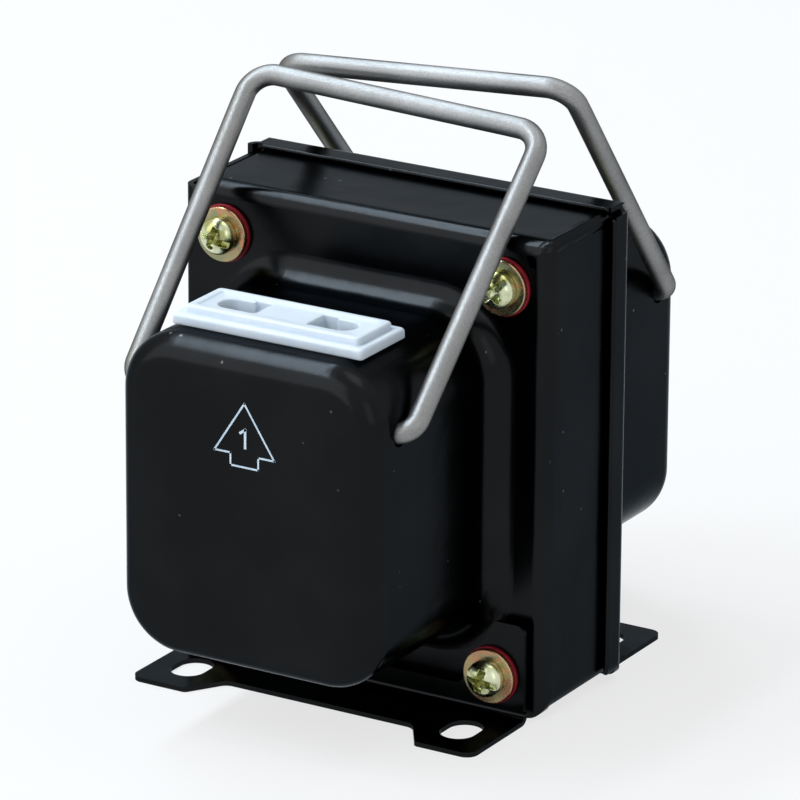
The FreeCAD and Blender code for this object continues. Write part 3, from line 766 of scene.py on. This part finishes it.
def make_lip_beads():
    """The enamel draws up into a round bead along the rim of the rear cover's lip."""
    rim_y, rim_z = 5.55, 79.45
    left, length = -30.5, 64.0
    foot = 2.3
    runs = {"top": [Vector((left + length * k / 90, rim_y, rim_z)) for k in range(91)]}
    for side, x, top in (("left", -34.35, 75.3), ("right", 34.35, 78.1)):
        runs[side] = [Vector((x, rim_y, foot + (top - foot) * k / 100)) for k in range(101)]
    for name, line in runs.items():
        points = [(p + Vector((0, 0.02 * math.sin(n * 0.37), 0))) * MM for n, p in enumerate(line)]
        made = wire_mesh(points, 0.44 * MM, 20, 0.2 * MM)
        add_object("rear_lip_bead_" + name, made, "black_enamel", "transformer")


# ---------------------------------------------------------------- print on the bulges
BULGE_FACE = 47.8          # either bulge's face from the frame's middle, in millimetres
INK_OUT = 0.03             # the ink stands this far out
INK_IN = 0.05              # and reaches this far in
ARROW_LINE = 0.30
NUMBER_LINE = 0.42


def ink(made, points, facing):
    """Flat patch of ink with a real thickness, in the bulge's face."""
    def outline(depth):
        return [made.verts.new(Vector((facing * u, -facing * depth, v)) * MM) for u, v in points]
    front = outline(BULGE_FACE + INK_OUT)
    back = outline(BULGE_FACE - INK_IN)
    made.faces.new(front)
    made.faces.new(list(reversed(back)))
    loft(made, [front, back])


def stroke(made, a, b, width, facing):
    """One straight line of ink, with its ends run half a width past its points."""
    a, b = Vector(a), Vector(b)
    on = (b - a).normalized() * (width / 2)
    side = Vector((-on.y, on.x))
    a, b = a - on * 0.98, b + on * 0.98
    ink(made, [tuple(a - side), tuple(b - side), tuple(b + side), tuple(a + side)], facing)


def make_marks():
    """An arrow towards the socket on each bulge, with a plain number in it."""
    numbers = {"front": [(-0.7, 52.4), (0.15, 53.0), (0.15, 50.1)],
               "rear": [(-0.8, 52.2), (-0.6, 52.7), (0.0, 53.0), (0.6, 52.7), (0.8, 52.2),
                        (0.6, 51.6), (-0.85, 50.1), (0.9, 50.1)]}
    arrow = [(0, 57.2), (5.4, 48.9), (2.5, 48.9), (2.5, 46.9), (-2.5, 46.9), (-2.5, 48.9),
             (-5.4, 48.9), (0, 57.2)]
    for facing, side in ((1, "front"), (-1, "rear")):
        made = bmesh.new()
        for a, b in zip(arrow, arrow[1:]):
            stroke(made, a, b, ARROW_LINE, facing)
        for a, b in zip(numbers[side], numbers[side][1:]):
            stroke(made, a, b, NUMBER_LINE, facing)
        bmesh.ops.recalc_face_normals(made, faces=made.faces)
        add_object(side + "_mark", made, "print_white", "transformer")


def soften_edges():
    """Cut sheet and small turned pieces are not knife sharp."""
    widths = {"front_cover": 0.3, "rear_cover": 0.38, "front_foot_bracket": 0.14,
              "rear_foot_bracket": 0.14, "hex_nuts": 0.12, "lock_washers": 0.1, "foot_spacers": 0.1}
    for name, width in widths.items():
        bevel = nodes[name].modifiers.new("soft", "BEVEL")
        bevel.width = width * MM
        bevel.segments = 3
        bevel.limit_method = "ANGLE"
        bevel.angle_limit = math.radians(40)
        bevel.use_clamp_overlap = True
        bevel.harden_normals = False


# ---------------------------------------------------------------- stage and light
FLOOR_WHITE = 0.72         # share of plain white in the floor, the rest takes the shadow
LAMP_AIM = Vector((0, 0, 0.05))


def shows_white(tree):
    """1 for rays that see the surroundings: from the camera, in a gloss or through glass."""
    path = tree.nodes.new("ShaderNodeLightPath")
    seen = path.outputs["Is Camera Ray"]
    for kind in ("Is Glossy Ray", "Is Transmission Ray"):
        either = tree.nodes.new("ShaderNodeMath")
        either.operation = "MAXIMUM"
        tree.links.new(seen, either.inputs[0])
        tree.links.new(path.outputs[kind], either.inputs[1])
        seen = either.outputs[0]
    return seen


def mix_shaders(tree, factor, a, b, out):
    """Lead a mix of two shaders to the tree's output."""
    mixed = tree.nodes.new("ShaderNodeMixShader")
    for socket, source in zip(mixed.inputs, (factor, a.outputs[0], b.outputs[0])):
        tree.links.new(source, socket)
    tree.links.new(mixed.outputs[0], out.inputs["Surface"])


def make_stage():
    """A wide pale floor that shows as plain white but keeps the part's shadow."""
    made = bmesh.new()
    bmesh.ops.create_grid(made, x_segments=8, y_segments=8, size=6.0)
    mesh = bpy.data.meshes.new("floor")
    made.to_mesh(mesh)
    made.free()
    floor = bpy.data.objects.new("floor", mesh)
    scene.collection.objects.link(floor)
    material = bpy.data.materials.new("floor")
    material.use_nodes = True
    tree = material.node_tree
    tree.nodes.clear()
    out = tree.nodes.new("ShaderNodeOutputMaterial")
    matt = tree.nodes.new("ShaderNodeBsdfDiffuse")
    matt.inputs["Color"].default_value = (0.90, 0.90, 0.90, 1)
    glow = tree.nodes.new("ShaderNodeEmission")
    glow.inputs["Color"].default_value = (1, 1, 1, 1)
    glow.inputs["Strength"].default_value = 1.0
    share = tree.nodes.new("ShaderNodeMath")
    share.operation = "MULTIPLY"
    share.inputs[1].default_value = FLOOR_WHITE
    tree.links.new(shows_white(tree), share.inputs[0])
    mix_shaders(tree, share.outputs[0], matt, glow, out)
    mesh.materials.append(material)


def add_lamp(name, size, energy, place, colour):
    """Soft rectangular lamp that looks at the middle of the part."""
    data = bpy.data.lights.new(name, "AREA")
    data.shape = "RECTANGLE"
    data.size, data.size_y = size
    data.energy = energy
    data.color = colour
    lamp = bpy.data.objects.new(name, data)
    scene.collection.objects.link(lamp)
    lamp.location = place
    lamp.rotation_mode = "QUATERNION"
    lamp.rotation_quaternion = (LAMP_AIM - Vector(place)).to_track_quat("-Z", "Y")


def make_light():
    """Plain soft studio light; one long lamp overhead gives the bends their bright band."""
    world = bpy.data.worlds.new("studio")
    scene.world = world
    world.use_nodes = True
    tree = world.node_tree
    tree.nodes.clear()
    out = tree.nodes.new("ShaderNodeOutputWorld")
    soft = tree.nodes.new("ShaderNodeBackground")
    soft.inputs["Color"].default_value = (0.93, 0.96, 1.0, 1)
    soft.inputs["Strength"].default_value = 0.27
    white = tree.nodes.new("ShaderNodeBackground")
    white.inputs["Color"].default_value = (1, 1, 1, 1)
    white.inputs["Strength"].default_value = 1.0
    mix_shaders(tree, shows_white(tree), soft, white, out)
    add_lamp("overhead_left", (1.4, 0.13), 11.2, (-0.54, 0.0, 1.03), (0.78, 0.905, 1.0))
    add_lamp("overhead", (0.6, 0.5), 1.6, (0.25, 0.15, 1.12), (0.95, 0.98, 1.0))
    add_lamp("front_left", (1.3, 1.3), 7.5, (-0.55, -0.95, 0.62), (0.93, 0.97, 1.0))
    add_lamp("front_right", (0.6, 0.8), 1.0, (1.1, -0.8, 0.5), (1, 1, 1))


set_camera()
make_stage()
make_light()
dress_nodes()
make_bail("front_bail_wire", "front_bail", "front_bail", 44.1, 1)
make_bail("rear_bail_wire", "rear_bail", "rear_bail", 40.6, -1)
make_fastenings()
make_sockets()
make_seam()
make_lip_beads()
make_marks()
soften_edges()

scene.view_settings.view_transform = "Standard"
